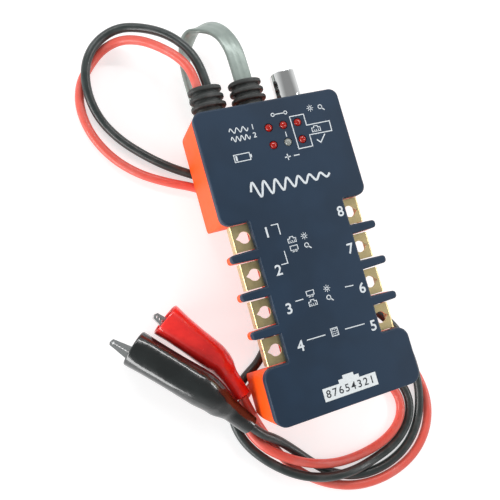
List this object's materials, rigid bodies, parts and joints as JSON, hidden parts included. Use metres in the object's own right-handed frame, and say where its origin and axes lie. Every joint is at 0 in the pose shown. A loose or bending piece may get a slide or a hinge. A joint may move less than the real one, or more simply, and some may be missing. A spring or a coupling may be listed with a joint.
{
  "type": "network cable tone generator",
  "caption": "Hand-held cable tone generator and line tester: dog-bone housing with contact tabs, lamps, coax jack, modular jack, flat cord and two clip leads.",
  "frame": {"origin": "middle of the housing's box, taken with its lamps, tabs and coax jack and without the cords", "axes": "+Z out of the front face, +Y along the housing to the end with the cords and the coax jack, +X to the side with tabs 5 to 8"},
  "size_m": [0.127, 0.2123, 0.0322],
  "materials": {
    "navy_plastic": "satin",
    "orange_plastic": "satin",
    "zinc_steel": "satin",
    "board_green": "satin",
    "lamp_red": "clear",
    "lamp_clear": "clear",
    "tab_brass": "satin",
    "black_plastic": "satin",
    "black_rubber": "matte",
    "chrome": "polished",
    "clip_steel": "polished",
    "white_plastic": "satin",
    "gold_contact": "polished",
    "battery_case": "satin",
    "black_lead": "glossy",
    "red_lead": "satin",
    "silver_cord": "satin",
    "clear_plastic": "clear",
    "copper_wire": "satin",
    "black_vinyl": "glossy",
    "red_vinyl": "glossy"
  },
  "bodies": {
    "housing": {"front_cover": "navy_plastic", "rear_cover": "orange_plastic", "housing_screws": "zinc_steel", "circuit_board": "board_green", "led_tone": "lamp_red", "led_continuity": "lamp_red", "led_blink_detect": "lamp_red", "led_low_battery": "lamp_red", "led_found": "lamp_red", "led_polarity": "lamp_clear", "test_tab_1": "tab_brass", "test_tab_2": "tab_brass", "test_tab_3": "tab_brass", "test_tab_4": "tab_brass", "test_tab_5": "tab_brass", "test_tab_6": "tab_brass", "test_tab_7": "tab_brass", "test_tab_8": "tab_brass", "main_chip": "black_plastic", "tactile_switch": "black_plastic", "modular_jack_housing": "black_plastic", "test_lead_boot": "black_rubber", "modular_cord_boot": "black_rubber", "battery_snap_cap": "black_rubber", "coax_jack_barrel": "chrome", "coax_jack_nut": "clip_steel", "coax_jack_insulator": "white_plastic", "coax_jack_contact": "gold_contact", "modular_jack_contacts": "gold_contact", "modular_plug_contacts": "gold_contact", "nine_volt_battery": "battery_case", "test_lead_black": "black_lead", "test_lead_red": "red_lead", "modular_cord": "silver_cord", "modular_plug_body": "clear_plastic", "black_clip_fixed_jaw": "clip_steel", "black_clip_pivot": "clip_steel", "black_clip_spring": "clip_steel", "black_clip_wire_end": "copper_wire", "red_clip_fixed_jaw": "clip_steel", "red_clip_pivot": "clip_steel", "red_clip_spring": "clip_steel", "red_clip_wire_end": "copper_wire", "black_clip_sleeve": "black_vinyl", "red_clip_sleeve": "red_vinyl"},
    "battery_door": {"battery_door": "orange_plastic"},
    "mode_button": {"mode_button": "navy_plastic"},
    "black_clip_jaw": {"black_clip_moving_jaw": "clip_steel"},
    "red_clip_jaw": {"red_clip_moving_jaw": "clip_steel"},
    "plug_latch": {"modular_plug_latch": "clear_plastic"}
  },
  "joints": [
    {"name": "battery_door_slide", "type": "slide", "parent": "housing", "child": "battery_door", "axis": [1, 0, 0], "range_m": [0, 0.035]},
    {"name": "mode_button_press", "type": "slide", "parent": "housing", "child": "mode_button", "axis": [-1, 0, 0], "range_m": [0, 0.0006], "stiffness_N_per_m": 1500},
    {"name": "black_clip_jaw_open", "type": "hinge", "parent": "housing", "child": "black_clip_jaw", "pos_m": [-0.06565, -0.03363, -0.00869], "axis": [0.1232, -0.1322, -0.9835], "range_deg": [0, 20], "stiffness_Nm_per_rad": 0.02},
    {"name": "red_clip_jaw_open", "type": "hinge", "parent": "housing", "child": "red_clip_jaw", "pos_m": [-0.04874, -0.02966, -0.01065], "axis": [-0.0022, 0.003, -1], "range_deg": [0, 20], "stiffness_Nm_per_rad": 0.02},
    {"name": "plug_latch_press", "type": "hinge", "parent": "housing", "child": "plug_latch", "pos_m": [0.02561, -0.02053, -0.01165], "axis": [-0.9285, -0.3714, 0], "range_deg": [0, 8], "stiffness_Nm_per_rad": 0.01}
  ]
}
